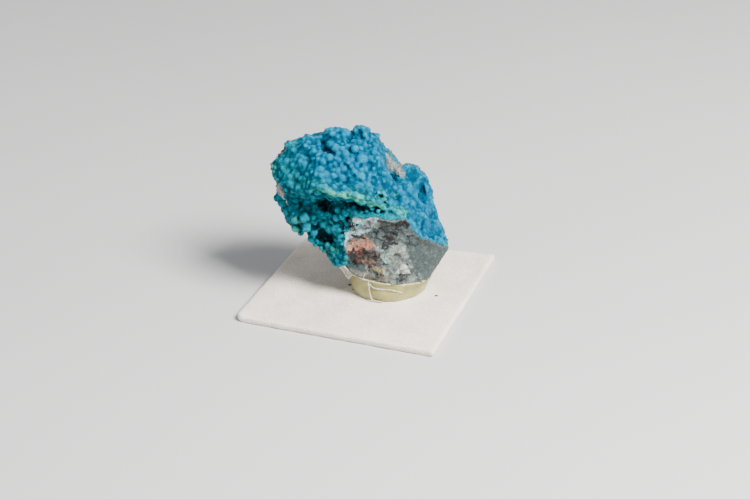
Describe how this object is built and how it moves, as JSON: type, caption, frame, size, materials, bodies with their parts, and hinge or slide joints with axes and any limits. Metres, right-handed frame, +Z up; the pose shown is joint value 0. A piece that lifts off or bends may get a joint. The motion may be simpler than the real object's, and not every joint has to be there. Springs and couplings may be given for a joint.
{
  "type": "chrysocolla specimen",
  "caption": "Natural chrysocolla specimen, a blue botryoidal crust on broken quartz matrix, glued on a small square of white foam board to stand on display.",
  "frame": {"origin": "on the plane of the foam tile's underside, at the middle of the part's bounding box", "axes": "+Z up, out of the tile's top; +X and +Y along the tile's sides; the specimen's display side faces -Y, turned 19.4 degrees towards +X"},
  "size_m": [0.0456, 0.048, 0.039],
  "materials": {
    "foam": "white fine-grained foam board",
    "glue": "pale yellow-green, see-through, waxy",
    "rock": "blue botryoidal crust on grey-green broken quartz"
  },
  "bodies": {
    "root": {"foam_tile": "foam", "glue_puck": "glue", "specimen": "rock"}
  },
  "joints": []
}
